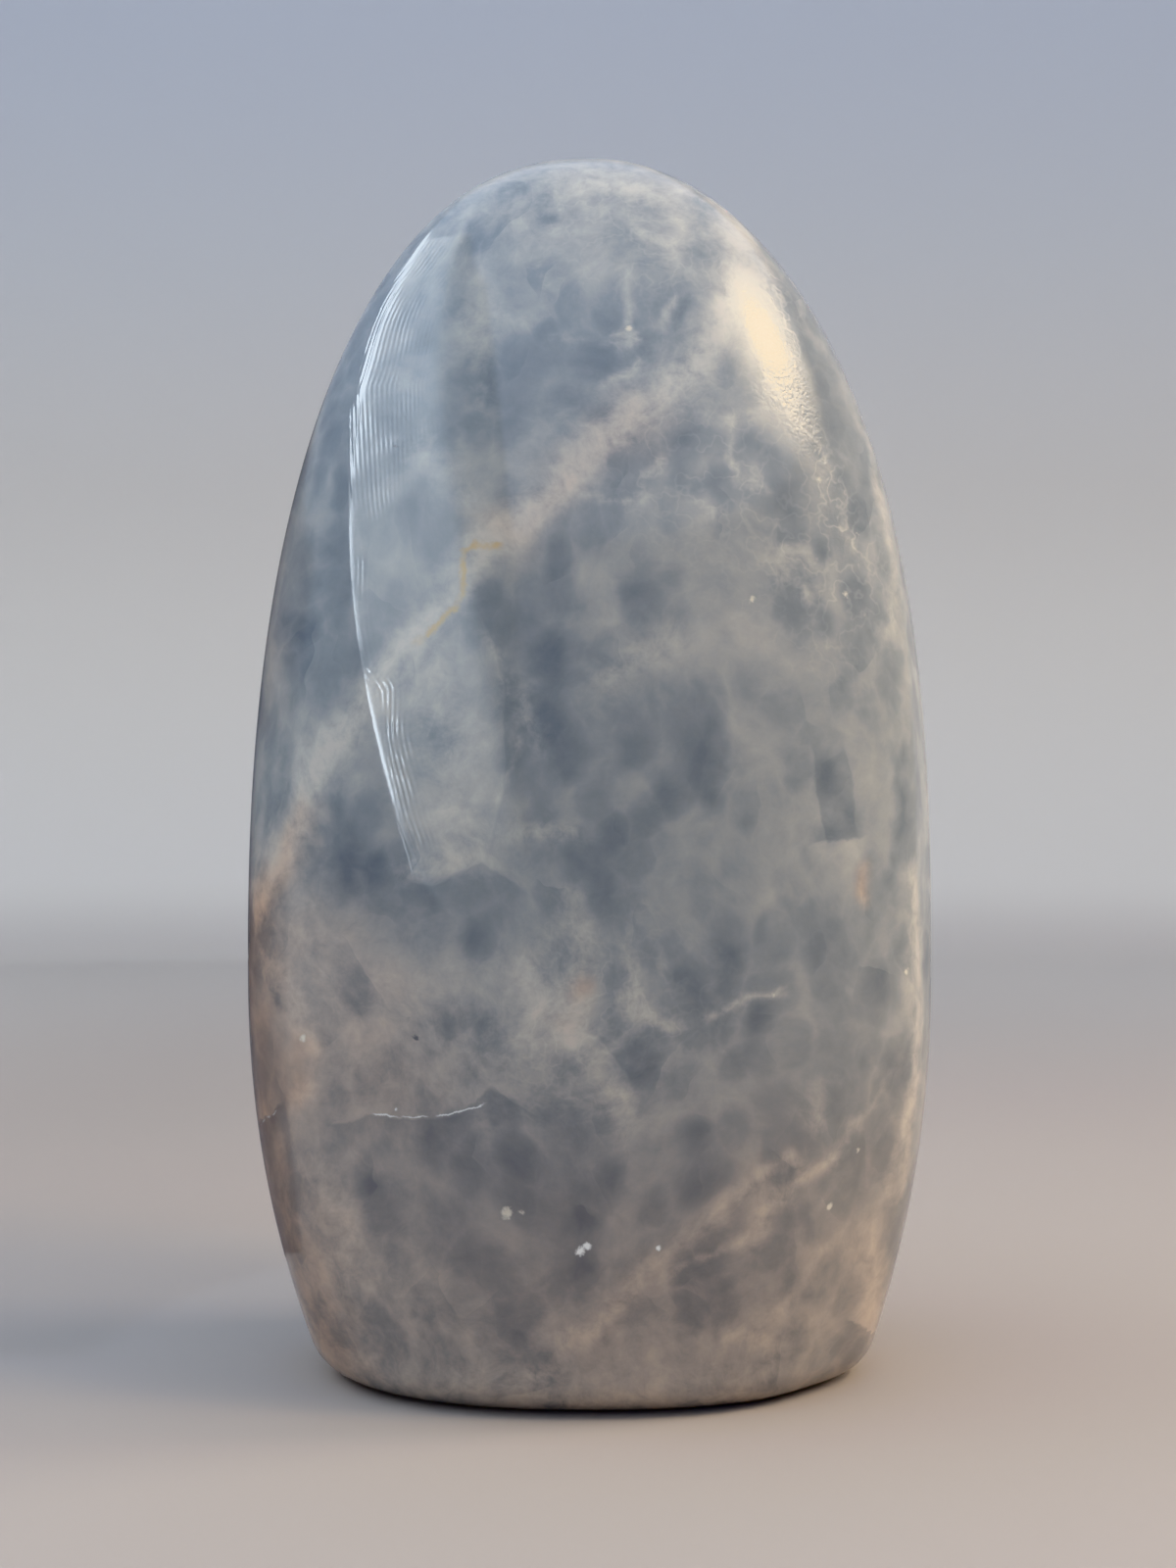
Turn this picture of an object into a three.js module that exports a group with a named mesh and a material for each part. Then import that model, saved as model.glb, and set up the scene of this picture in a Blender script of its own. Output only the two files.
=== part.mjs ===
import * as THREE from "three";

// A polished freeform of blue calcite: one hand-ground stone that stands on a flat cut foot.
// Millimetres, +Z up. The origin is the middle of the foot, +X is the viewer's right and -Y faces the viewer.

// Overall size.
const HEIGHT = 105.5;
const HALF_WIDTH = 29.8;
const HALF_DEPTH = 18.5;

// Where the outline is widest, seen from the front and from the side.
const WIDEST_SIDE_AT = 35;
const WIDEST_FACE_AT = 33;

// How far the foot reaches from the axis, and how late the outline draws in towards it.
const FOOT_LEFT = 23.3;
const FOOT_RIGHT = 23.9;
const FOOT_DEPTH = 14.7;
const FOOT_POWER = 2.15;

// The crown keeps its width longer with a higher power, and closes more bluntly with a higher close.
const CROWN_LEFT = { power: 2.3, close: 2.3 };
const CROWN_RIGHT = { power: 2.6, close: 2 };
const CROWN_FACE = { power: 2.1, close: 2 };

// Level sections are superellipses, a little fuller than an ellipse at the shoulders.
const SECTION_POWER = 2.2;

// The rounding where the sides meet the flat foot.
const FOOT_ROUND = 3;

// Flats that the wheel left while the stone was drawn along it. Each runs between two heights, and its
// azimuth goes from the one at its low end to the one at its high end: 0 faces the viewer, 90 the right.
// cut is how deep it goes halfway along, and soft how gently it meets the rest of the surface.
const FLATS = [
  { name: "window", low: 34, high: 104, azimuths: [-4, -35], cut: 0.4, soft: 0.05 },
  { name: "right side", low: 18, high: 78, azimuths: [66, 74], cut: 0.35, soft: 0.06 },
  { name: "right toe", low: -16, high: 30, azimuths: [40, 44], cut: 0.5, soft: 0.3 },
  { name: "back left", low: 8, high: 90, azimuths: [-150, -140], cut: 0.5, soft: 0.1 },
  { name: "back right", low: 25, high: 100, azimuths: [152, 138], cut: 0.5, soft: 0.1 },
];

// How finely the stone is faceted.
const AROUND = 72;
const FOOT_RINGS = 4;
const FLANK_RINGS = 12;
const CROWN_RINGS = 26;

/** How far the outline stands from the axis at height z, before the foot's rounding. */
function reachAt(z, widest, foot, at, crown) {
  const up = THREE.MathUtils.clamp((z - at) / (HEIGHT - at), 0, 1);
  const down = THREE.MathUtils.clamp((at - z) / at, 0, 1);
  const left = (1 - up ** crown.power) ** (1 / crown.close);
  return widest * left - (widest - foot) * down ** FOOT_POWER;
}

/** How far the rounding of the foot draws the outline in at height z. */
function footInset(z) {
  const below = Math.max(FOOT_ROUND - z, 0);
  return FOOT_ROUND - Math.sqrt(FOOT_ROUND ** 2 - below ** 2);
}

/** The half sizes of the level section at height z: to the right or the left, and to the front or back. */
function sectionAt(z, toRight) {
  const inset = footInset(z);
  const foot = toRight ? FOOT_RIGHT : FOOT_LEFT;
  const crown = toRight ? CROWN_RIGHT : CROWN_LEFT;
  return {
    across: reachAt(z, HALF_WIDTH, foot, WIDEST_SIDE_AT, crown) - inset,
    deep: reachAt(z, HALF_DEPTH, FOOT_DEPTH, WIDEST_FACE_AT, CROWN_FACE) - inset,
  };
}

/** The unit vector that faces an azimuth, level with the ground. */
function facing(azimuth) {
  const turn = THREE.MathUtils.degToRad(azimuth);
  return new THREE.Vector2(Math.sin(turn), -Math.cos(turn));
}

/** How far the whole section at height z reaches in a direction: a superellipse's support. */
function supportAt(z, direction) {
  const { across, deep } = sectionAt(z, direction.x > 0);
  const dual = SECTION_POWER / (SECTION_POWER - 1);
  return ((across * Math.abs(direction.x)) ** dual + (deep * Math.abs(direction.y)) ** dual) ** (1 / dual);
}

/** Presses a point in along direction wherever it stands past limit, with a soft start. */
function press(point, direction, limit, soft) {
  const past = (point.dot(direction) - limit) / soft;
  const taken = soft * (past > 30 ? past : Math.log1p(Math.exp(past)));
  point.addScaledVector(direction, -taken);
}

/** Grinds one long flat into a point of the section at height z. */
function grindFlat(point, z, flat) {
  const along = (z - flat.low) / (flat.high - flat.low);
  if (along <= 0 || along >= 1) return;
  const direction = facing(THREE.MathUtils.lerp(flat.azimuths[0], flat.azimuths[1], along));
  const cut = flat.cut * Math.sin(Math.PI * along);
  const fade = Math.min(cut / flat.soft, 1);
  const ground = point.clone();
  press(ground, direction, supportAt(z, direction) - cut, flat.soft);
  point.lerp(ground, fade);
}

/** A signed power, which keeps the side of the axis that its base is on. */
function signedPower(base, power) {
  return Math.sign(base) * Math.abs(base) ** power;
}

/** The point of the stone's skin at height z, turn radians round from +X towards +Y. */
function skinPoint(turn, z) {
  const { across, deep } = sectionAt(z, Math.cos(turn) > 0);
  const point = new THREE.Vector2(
    across * signedPower(Math.cos(turn), 2 / SECTION_POWER),
    deep * signedPower(Math.sin(turn), 2 / SECTION_POWER),
  );
  for (const flat of FLATS) grindFlat(point, z, flat);
  return point;
}

/** The heights of the rings from the foot to just under the top, closer where the outline turns fast. */
function ringHeights() {
  const heights = [];
  const quarter = Math.PI / 2;
  for (let i = 0; i < FOOT_RINGS; i++) heights.push(FOOT_ROUND * (1 - Math.cos((quarter * i) / FOOT_RINGS)));
  for (let i = 0; i < FLANK_RINGS; i++) {
    heights.push(THREE.MathUtils.lerp(FOOT_ROUND, WIDEST_SIDE_AT, i / FLANK_RINGS));
  }
  for (let i = 0; i < CROWN_RINGS; i++) {
    heights.push(WIDEST_SIDE_AT + (HEIGHT - WIDEST_SIDE_AT) * Math.sin((quarter * i) / CROWN_RINGS));
  }
  return heights;
}

/** A blank of unit radius on a lathe, closed at both ends, with one ring for each height. */
function turnedBlank() {
  const foot = [new THREE.Vector2(0, 0), new THREE.Vector2(0.5, 0)];
  const rings = ringHeights().map((z) => new THREE.Vector2(1, z));
  const profile = [...foot, ...rings, new THREE.Vector2(0, HEIGHT)];
  return new THREE.LatheGeometry(profile, AROUND).rotateX(Math.PI / 2);
}

/** The blank with each vertex brought to the stone's skin. */
function groundStone() {
  const stone = turnedBlank();
  const places = stone.getAttribute("position");
  for (let i = 0; i < places.count; i++) {
    const [x, y, z] = [places.getX(i), places.getY(i), places.getZ(i)];
    const share = Math.hypot(x, y);
    const skin = skinPoint(Math.atan2(y, x), z).multiplyScalar(share);
    places.setXY(i, skin.x, skin.y);
  }
  stone.deleteAttribute("uv");
  stone.computeBoundingBox();
  const middle = stone.boundingBox.getCenter(new THREE.Vector3());
  stone.translate(-middle.x, -middle.y, 0);
  stone.computeVertexNormals();
  return stone;
}

const calcite = new THREE.MeshStandardMaterial({ color: 0x8b949b, roughness: 0.15, metalness: 0 });

const stone = new THREE.Mesh(groundStone(), calcite);
stone.name = "stone";

const freeform = new THREE.Group();
freeform.add(stone);

export default freeform;
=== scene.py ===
# %% [markdown]
# # A polished freeform of blue calcite
#
# The real thing is one stone, about as tall as a hand. It was ground by hand on a wheel, polished, and sawn
# flat below so that it stands. It is milky and only a little see-through: pale wisps and veins hang between
# darker, clearer grains, as in dirty ice. Most of its looks come from three things: a smooth ground skin that
# mirrors the room, a cloudy pattern that goes right through the stone, and light that soaks in a little way.
# The rest is painted into its colour: painted shade at the foot and the lower left edge, a painted reflection
# of the cool sky on the upper front, and painted glints on a few flakes.
#
# The notebook makes them in that order: the skin as a surface worked out from a formula, the markings as
# fields stored on that surface, and the finish as shader nodes that read them.

import bpy
import numpy as np
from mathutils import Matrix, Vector
from mathutils.bvhtree import BVHTree


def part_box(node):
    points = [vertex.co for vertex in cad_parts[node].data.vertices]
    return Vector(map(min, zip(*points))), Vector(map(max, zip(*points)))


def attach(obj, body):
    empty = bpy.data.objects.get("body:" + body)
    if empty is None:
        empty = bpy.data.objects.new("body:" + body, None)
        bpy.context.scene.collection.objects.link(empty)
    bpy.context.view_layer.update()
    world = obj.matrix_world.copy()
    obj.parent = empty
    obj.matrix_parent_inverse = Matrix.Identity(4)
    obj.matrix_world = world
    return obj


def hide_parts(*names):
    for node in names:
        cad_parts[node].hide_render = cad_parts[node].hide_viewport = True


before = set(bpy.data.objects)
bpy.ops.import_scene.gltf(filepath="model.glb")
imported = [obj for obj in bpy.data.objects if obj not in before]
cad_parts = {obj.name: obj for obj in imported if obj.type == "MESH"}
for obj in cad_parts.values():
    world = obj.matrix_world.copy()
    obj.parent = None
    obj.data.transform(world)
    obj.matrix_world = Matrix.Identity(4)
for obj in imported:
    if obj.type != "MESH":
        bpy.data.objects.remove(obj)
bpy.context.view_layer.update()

# %% [markdown]
# ## The camera
#
# The photograph was taken from a hand's length or two away, almost level, looking at the middle of the stone.
# A lens that is close to its subject shows the foot from a little above, so the camera's distance matters as
# much as its angle. It was found from how strongly the front edge of the foot curves down.

# %% Camera
PHOTO_WIDTH, PHOTO_HEIGHT = 1200, 1600
HORIZON_ROW = 750
FOCAL_PIXELS = 2000
SENSOR_MM = 36

camera_data = bpy.data.cameras.new("camera")
camera_data.sensor_width = SENSOR_MM
camera_data.lens = SENSOR_MM * FOCAL_PIXELS / PHOTO_HEIGHT
camera_data.clip_start = 0.01
camera = bpy.data.objects.new("camera", camera_data)
camera.location = (-0.00015, -0.172, 0.0555)
PITCH = np.arctan((PHOTO_HEIGHT / 2 - HORIZON_ROW) / FOCAL_PIXELS)
camera.rotation_euler = (np.pi / 2 - PITCH, 0, 0)
bpy.context.scene.collection.objects.link(camera)
bpy.context.scene.camera = camera
bpy.context.view_layer.update()
print(f"lens {camera_data.lens:.1f} mm, looking down by {np.degrees(PITCH):.2f} degrees")

# %% [markdown]
# ## The ground skin
#
# A lump that is ground by hand has no straight line in it. Its level sections are a little fuller than an
# ellipse, which a superellipse gives with one number. Its outline swells from the foot to its widest place
# and closes in a rounded crown. A sculpted mesh could have this shape too, but a formula keeps it smooth at
# any fineness, so that the mirror-like polish shows no dents.
#
# All lengths are millimetres of the real stone. One of them, MM, is the scale of the frame, taken from the
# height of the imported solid.

# %% Sizes of the skin
low_corner, high_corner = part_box("stone")
STONE_HEIGHT = 105.5
MM = (high_corner.z - low_corner.z) / STONE_HEIGHT
HALF_WIDTH = (high_corner.x - low_corner.x) / 2 / MM
HALF_DEPTH = (high_corner.y - low_corner.y) / 2 / MM
print(f"one millimetre is {MM:.6f} m; half width {HALF_WIDTH:.2f} mm, half depth {HALF_DEPTH:.2f} mm")

WIDEST_SIDE_AT, WIDEST_FACE_AT = 35.0, 33.0
FOOT_LEFT, FOOT_RIGHT, FOOT_DEPTH = 23.3, 23.9, 14.7
FOOT_POWER = 2.15
FOOT_ROUND = 3.0
SECTION_POWER = 2.2

# Each crown is a power, which keeps its width longer, and a close, which makes its end blunter.
CROWN_LEFT, CROWN_RIGHT, CROWN_FACE = (2.3, 2.3), (2.6, 2.0), (2.1, 2.0)

# Flats left by the wheel: low and high end, azimuth at each (0 faces the viewer), cut and softness.
FLATS = {
    "window": (34, 104, -4, -35, 0.40, 0.05),
    "right side": (18, 78, 66, 74, 0.35, 0.06),
    "right toe": (-16, 30, 40, 44, 0.5, 0.3),
    "back left": (8, 90, -150, -140, 0.5, 0.1),
    "back right": (25, 100, 152, 138, 0.5, 0.1),
}

# %% The level section at each height
def reach_at(z, widest, foot, at, crown):
    """How far the outline stands from the axis: widest * (1 - up^power)^(1/close) above the widest place, and
    widest less (widest - foot) * down^FOOT_POWER below it. up and down run from 0 there to 1 at the end."""
    power, close = crown
    up = np.clip((z - at) / (STONE_HEIGHT - at), 0, 1)
    down = np.clip((at - z) / at, 0, 1)
    return widest * (1 - up**power) ** (1 / close) - (widest - foot) * down**FOOT_POWER


def section_at(z, to_right):
    """The half sizes of the level section, less a quarter circle where the sides round under to the foot."""
    inset = FOOT_ROUND - np.sqrt(FOOT_ROUND**2 - np.clip(FOOT_ROUND - z, 0, None) ** 2)
    left = reach_at(z, HALF_WIDTH, FOOT_LEFT, WIDEST_SIDE_AT, CROWN_LEFT)
    right = reach_at(z, HALF_WIDTH, FOOT_RIGHT, WIDEST_SIDE_AT, CROWN_RIGHT)
    deep = reach_at(z, HALF_DEPTH, FOOT_DEPTH, WIDEST_FACE_AT, CROWN_FACE)
    return np.where(to_right, right, left) - inset, deep - inset


# %% The flats that the wheel left
def facing(azimuth):
    """The level unit vector that faces an azimuth in degrees."""
    turn = np.radians(azimuth)
    return np.sin(turn), -np.cos(turn)


def support_at(z, nx, ny):
    """How far the whole section reaches in a direction: (|a nx|^q + |b ny|^q)^(1/q), q = n / (n - 1)."""
    across, deep = section_at(z, nx > 0)
    dual = SECTION_POWER / (SECTION_POWER - 1)
    return ((across * np.abs(nx)) ** dual + (deep * np.abs(ny)) ** dual) ** (1 / dual)


def grind(x, y, z, flat):
    """Presses the section in along one direction wherever it stands past a limit, with a soft start:
    taken = soft * log(1 + exp(past / soft)). The cut is deepest halfway along the flat."""
    low, high, first, last, deepest, soft = flat
    along = np.clip((z - low) / (high - low), 0, 1)
    nx, ny = facing(first + (last - first) * along)
    cut = deepest * np.sin(np.pi * along)
    past = x * nx + y * ny - support_at(z, nx, ny) + cut
    taken = soft * np.logaddexp(0, past / soft) * np.minimum(cut / soft, 1)
    return x - nx * taken, y - ny * taken


def skin(turn, z):
    """The skin's points: a superellipse x = a |cos|^(2/n), y = b |sin|^(2/n), with the flats ground in."""
    across, deep = section_at(z, np.cos(turn) > 0)
    x = across * np.sign(np.cos(turn)) * np.abs(np.cos(turn)) ** (2 / SECTION_POWER)
    y = deep * np.sign(np.sin(turn)) * np.abs(np.sin(turn)) ** (2 / SECTION_POWER)
    for flat in FLATS.values():
        x, y = grind(x, y, z, flat)
    return x, y


# %% [markdown]
# ## The fine mesh
#
# The skin is laid out as a grid of rings round the stone, evenly spaced along its outline, so that a mark can
# be placed as finely at the crown as at the waist. The foot is a flat disc of shrinking rings. Both ends
# close in one point, so the mesh is a closed solid without a seam.

# %% Rings and points
AROUND = 384
FOOT_DISC_RINGS, SIDE_RINGS = 6, 248


def heights_along_outline(count):
    """Ring heights at even steps of the right outline's length: the sum of sqrt(dx^2 + dz^2) in fine steps."""
    fine_heights = STONE_HEIGHT * (1 - np.cos(np.linspace(0, np.pi, 6001))) / 2
    reach = section_at(fine_heights, True)[0]
    run = np.concatenate([[0], np.cumsum(np.hypot(np.diff(reach), np.diff(fine_heights)))])
    return np.interp(np.linspace(0, run[-1], count, endpoint=False), run, fine_heights)


disc_share = np.arange(1, FOOT_DISC_RINGS + 1) / (FOOT_DISC_RINGS + 1)
ring_height = np.concatenate([np.zeros(FOOT_DISC_RINGS), heights_along_outline(SIDE_RINGS)])
ring_share = np.concatenate([disc_share, np.ones(SIDE_RINGS)])
turns = np.linspace(0, 2 * np.pi, AROUND, endpoint=False)
turn_grid, height_grid = np.meshgrid(turns, ring_height)
x_grid, y_grid = skin(turn_grid, height_grid)
x_grid, y_grid = x_grid * ring_share[:, None], y_grid * ring_share[:, None]

rings = np.stack([x_grid, y_grid, height_grid], axis=-1).reshape(-1, 3)
ends = np.array([[0, 0, 0], [0, 0, STONE_HEIGHT]])
points = np.concatenate([rings, ends])
points[:, :2] -= (points[:, :2].max(axis=0) + points[:, :2].min(axis=0)) / 2
print(f"{len(points)} points, {np.ptp(points, axis=0).round(2).tolist()} mm")


# %% Faces between the rings
def closed_tube_faces(ring_count, around):
    """Quads between each ring and the next, turned outwards, and a fan of triangles at both ends."""
    start = np.arange(ring_count - 1)[:, None] * around
    here = np.arange(around)
    after = (here + 1) % around
    quads = np.stack([start + here, start + after, start + around + after, start + around + here], axis=-1)
    bottom = np.full(around, ring_count * around)
    top = bottom + 1
    last = (ring_count - 1) * around
    fans = np.concatenate([np.stack([bottom, after, here], 1), np.stack([top, last + here, last + after], 1)])
    return quads.reshape(-1, 4).tolist() + fans.tolist()


def new_piece(name, points_mm, faces):
    """A smooth-shaded mesh object at the origin, from points in millimetres."""
    mesh = bpy.data.meshes.new(name)
    mesh.from_pydata((points_mm * MM).tolist(), [], faces)
    mesh.shade_smooth()
    mesh.update()
    piece = bpy.data.objects.new(name, mesh)
    bpy.context.scene.collection.objects.link(piece)
    return piece


stone = new_piece("polished_stone", points, closed_tube_faces(len(ring_height), AROUND))
print(f"{len(stone.data.polygons)} faces")

# %% [markdown]
# ## Placing marks on the skin
#
# The biggest veins, the clear dark grains and the flaws are what makes this stone itself, so they are placed
# one by one, each as a short path of a few points. A point on the front is named by its place in the
# photograph.
# A ray from the camera through that place meets the skin, and the mark sits there, whatever side it is then
# seen from. A point on the sides or the back is named by its azimuth and its height.
#
# A mark isn't painted as an outline. It becomes a field: strong on the path, fading with distance in space.
# The fields bend with a soft noise first, because nothing in a mineral has a clean edge.

# %% From the photograph to the skin
skin_tree = BVHTree.FromPolygons(points.tolist(), closed_tube_faces(len(ring_height), AROUND))
camera_turn = np.array(camera.rotation_euler.to_matrix())
camera_place = np.array(camera.location) / MM


def under_pixel(column, row):
    """Where the ray through a place in the photograph meets the skin, or the nearest skin if it misses."""
    across, up = (column - PHOTO_WIDTH / 2) / FOCAL_PIXELS, (PHOTO_HEIGHT / 2 - row) / FOCAL_PIXELS
    ray = camera_turn @ np.array([across, up, -1.0])
    hit = skin_tree.ray_cast(Vector(camera_place), Vector(ray))[0]
    if hit is None:
        middle = camera_place + ray * -camera_place[1] / ray[1]
        hit = skin_tree.find_nearest(Vector(middle))[0]
    return np.array(hit)


def at_side(azimuth, height):
    """The skin's point at an azimuth in degrees and a height in millimetres."""
    nx, ny = facing(azimuth)
    outside = Vector((nx * 100, ny * 100, height))
    return np.array(skin_tree.ray_cast(outside, Vector((-nx, -ny, 0)))[0])


# %% Soft noise for bending the marks
def soft_noise(places, size, seed):
    """Three smooth random values from -1 to 1 at each place: a lattice of random numbers, one every size
    millimetres, blended by the smooth step 3t^2 - 2t^3 along each axis."""
    lattice = np.random.default_rng(seed).uniform(-1, 1, (32, 32, 32, 3))
    cell = np.floor(places / size).astype(int)
    part = places / size - cell
    part = part * part * (3 - 2 * part)
    total = np.zeros_like(places)
    for corner in np.ndindex(2, 2, 2):
        share = np.prod(np.where(corner, part, 1 - part), axis=1)
        i, j, k = ((cell + corner) % 32).T
        total += share[:, None] * lattice[i, j, k]
    return total


normals = np.zeros(points.size)
stone.data.vertex_normals.foreach_get("vector", normals)
normals = normals.reshape(-1, 3)
bent_points = points + 1.2 * soft_noise(points, 7.0, 11) + 0.9 * soft_noise(points, 2.6, 12)
bent_points += 0.35 * soft_noise(points, 1.2, 13)


# %% From a path to a field
def distance_to_path(places, path):
    """The distance from each place to the nearest stretch of a path, in millimetres."""
    nearest = np.full(len(places), np.inf)
    for start, end in zip(path[:-1], path[1:]):
        stretch = end - start
        along = np.clip((places - start) @ stretch / (stretch @ stretch), 0, 1)
        gap = places - start - along[:, None] * stretch
        nearest = np.minimum(nearest, np.linalg.norm(gap, axis=1))
    return nearest


def beside_path(spots):
    """For each point of the skin: how far it is to the right of a path, seen along it from outside, less than
    0 on its left, and how far it lies beyond the nearer end, less than 0 between the ends. In millimetres."""
    path = np.array([under_pixel(*spot) for spot in spots])
    lengths = np.linalg.norm(np.diff(path, axis=0), axis=1)
    begins = np.concatenate([[0], np.cumsum(lengths)])
    nearest = np.full(len(points), np.inf)
    beside, travelled = np.zeros(len(points)), np.zeros(len(points))
    for index, (start, length) in enumerate(zip(path[:-1], lengths)):
        ahead = (path[index + 1] - start) / length
        across = np.cross(ahead, normals)
        along = (points - start) @ ahead
        held = np.clip(along, 0, length)
        far = np.linalg.norm(points - start - held[:, None] * ahead, axis=1)
        closer = far < nearest
        nearest = np.where(closer, far, nearest)
        side = np.sign(np.sum((points - start) * across, axis=1))
        apart = np.linalg.norm(points - start - along[:, None] * ahead, axis=1)
        beside = np.where(closer, side * apart, beside)
        travelled = np.where(closer, begins[index] + along, travelled)
    return beside, np.maximum(-travelled, travelled - begins[-1])


def field_of(marks, places):
    """One field for a list of marks: each is strength * exp(-(distance / half width)^2), and they join as
    1 - (1 - a)(1 - b), so that marks that overlap never pass full strength."""
    rest = np.ones(len(places))
    for half_width, strength, path in marks:
        spots = np.array([under_pixel(*spot) if spot[0] > 200 else at_side(*spot) for spot in path])
        if len(spots) == 1:
            spots = np.concatenate([spots, spots + 0.01])
        far = distance_to_path(places, spots) / half_width
        rest *= 1 - strength * np.exp(-(far**2))
    return 1 - rest


def store(name, values):
    """Puts one value for each point on the stone, for the shader to read."""
    layer = stone.data.attributes.new(name, "FLOAT", "POINT")
    layer.data.foreach_set("value", values.astype(np.float32))
    print(f"{name}: mean {values.mean():.3f}, most {values.max():.3f}")


# %% [markdown]
# ## The marks of this stone
#
# Each mark is its half width in millimetres, its strength from 0 to 1, and its path. Milky marks are healed
# cracks and cloudy bands, where tiny bubbles scatter the light. The biggest is a vein that crosses the whole
# front from the right shoulder down to the left edge. A healed crack is a sheet right through the stone, so
# the vein comes round the back too, with one thin branch down to the foot. The veins bend half as much as the
# wisps do.

# %% Milky veins and wisps
MILKY_VEINS = [
    (
        1.15, 0.95,
        [(762, 284), (735, 330), (713, 373), (672, 399), (633, 437), (598, 466), (570, 500), (530, 535)],
    ),
    (1.3, 0.60, [(598, 466), (560, 500), (520, 530), (480, 560), (450, 590)]),
    (3.4, 0.30, [(775, 320), (720, 370), (660, 405), (600, 455), (540, 510)]),
    (
        1.3, 0.85,
        [(530, 540), (500, 565), (470, 600), (438, 640), (412, 661), (393, 689), (368, 728), (336, 766)],
    ),
    (1.3, 0.90, [(336, 766), (317, 804), (305, 842), (281, 881), (262, 920)]),
    (3.0, 0.35, [(336, 766), (300, 830), (262, 920)]),
    (2.2, 0.80, [(762, 284), (70, 98), (110, 94), (150, 86), (175, 78)]),
    (1.5, 0.80, [(175, 78), (-165, 70), (-140, 61), (-115, 51), (-95, 44), (262, 920)]),
    (3.6, 0.35, [(150, 86), (-175, 74), (-140, 61)]),
    (1.0, 0.45, [(-95, 44), (-112, 32), (-130, 22), (-142, 12), (-150, 3)]),
]
CROWN_WISPS = [
    (1.0, 0.45, [(441, 227), (495, 188), (543, 169), (591, 164), (650, 168), (705, 187), (745, 222)]),
    (1.6, 0.35, [(578, 184), (639, 190), (690, 212)]),
    (0.6, 0.70, [(598, 182), (640, 198), (638, 227), (665, 246), (690, 250)]),
    (0.5, 0.70, [(640, 271), (646, 310), (643, 332), (656, 342)]),
    (0.6, 0.50, [(700, 198), (732, 211), (760, 240)]),
    (0.5, 0.70, [(691, 316), (672, 341), (652, 373), (630, 402)]),
    (0.5, 0.50, [(505, 335), (540, 324), (559, 310), (546, 290)]),
    (0.4, 0.50, [(559, 338), (600, 340), (639, 341)]),
    (1.6, 0.50, [(485, 325), (495, 360), (505, 392)]),
    (1.5, 0.35, [(406, 453), (440, 470), (470, 505)]),
    (8.0, 0.32, [(480, 220), (590, 190), (700, 230)]),
    (0.45, 1.0, [(630, 332), (641, 333), (651, 342)]),
    (0.40, 0.9, [(552, 268), (555, 284)]),
]
SHOULDER_WEB = [
    (0.5, 0.70, [(665, 453), (662, 510), (637, 514), (595, 510)]),
    (0.5, 0.60, [(703, 510), (729, 520), (726, 539)]),
    (0.8, 0.70, [(719, 415), (758, 437), (777, 427)]),
    (0.4, 0.55, [(745, 430), (735, 470), (745, 500), (790, 505)]),
    (0.5, 0.60, [(800, 400), (815, 440), (840, 470), (862, 520), (870, 560)]),
    (0.9, 0.60, [(790, 590), (805, 578), (826, 585), (830, 600), (815, 608)]),
    (1.4, 0.40, [(885, 450), (905, 550), (915, 650)]),
]
MIDDLE_WISPS = [
    (3.2, 0.45, [(440, 690), (455, 760), (470, 840)]),
    (0.4, 0.50, [(492, 629), (502, 664), (514, 696), (518, 760), (514, 807)]),
    (1.2, 0.50, [(419, 880), (440, 885), (480, 868)]),
    (1.6, 0.55, [(530, 705), (550, 740)]),
    (1.3, 0.60, [(535, 848), (575, 850)]),
    (1.8, 0.50, [(630, 690), (655, 665), (688, 645)]),
    (1.3, 0.60, [(570, 925), (590, 980), (559, 1021)]),
    (2.0, 0.55, [(535, 985), (575, 1040)]),
    (0.9, 0.70, [(640, 919), (637, 967), (646, 999), (656, 1011)]),
    (0.5, 0.75, [(637, 1015), (688, 1034), (732, 1035), (767, 1027), (799, 1024)]),
    (0.8, 0.60, [(585, 1065), (606, 1075), (625, 1100), (620, 1120)]),
    (0.9, 0.55, [(642, 1090), (642, 1150)]),
    (0.2, 0.80, [(361, 842), (326, 868)]),
    (1.2, 0.55, [(272, 985), (300, 1010), (307, 1060), (300, 1110)]),
    (7.0, 0.34, [(300, 960), (360, 1040), (480, 1060), (590, 1080)]),
    (9.0, 0.26, [(330, 1250), (420, 1380), (600, 1400), (760, 1370)]),
    (5.0, 0.30, [(330, 1370), (410, 1425), (520, 1445)]),
    (0.45, 0.90, [(880, 882), (884, 908)]),
]
LOWER_BANDS = [
    (0.9, 0.65, [(533, 1411), (577, 1367), (640, 1323), (657, 1299), (701, 1258), (742, 1232), (804, 1188)]),
    (0.7, 0.70, [(690, 1300), (748, 1264), (783, 1232), (818, 1200), (848, 1176)]),
    (0.7, 0.45, [(848, 1176), (877, 1141), (906, 1094)]),
    (0.6, 0.40, [(740, 1360), (760, 1346), (795, 1317), (842, 1276), (868, 1244)]),
    (1.1, 0.60, [(852, 1085), (838, 1100), (828, 1150)]),
    (0.8, 0.60, [(750, 1352), (765, 1361), (778, 1372)]),
    (1.6, 0.60, [(885, 1250), (890, 1300), (885, 1340)]),
    (1.5, 0.80, [(932, 900), (936, 1000), (930, 1100), (918, 1200)]),
    (2.2, 0.45, [(335, 1210), (345, 1260), (330, 1310)]),
    (2.0, 0.45, [(370, 1395), (480, 1420), (620, 1425), (760, 1410)]),
]
VEIN_BEND = 0.55
veins = field_of(MILKY_VEINS, points + VEIN_BEND * (bent_points - points))
wisps = field_of(CROWN_WISPS + SHOULDER_WEB + MIDDLE_WISPS + LOWER_BANDS, bent_points)
store("milky", 1 - (1 - veins) * (1 - wisps))
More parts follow.
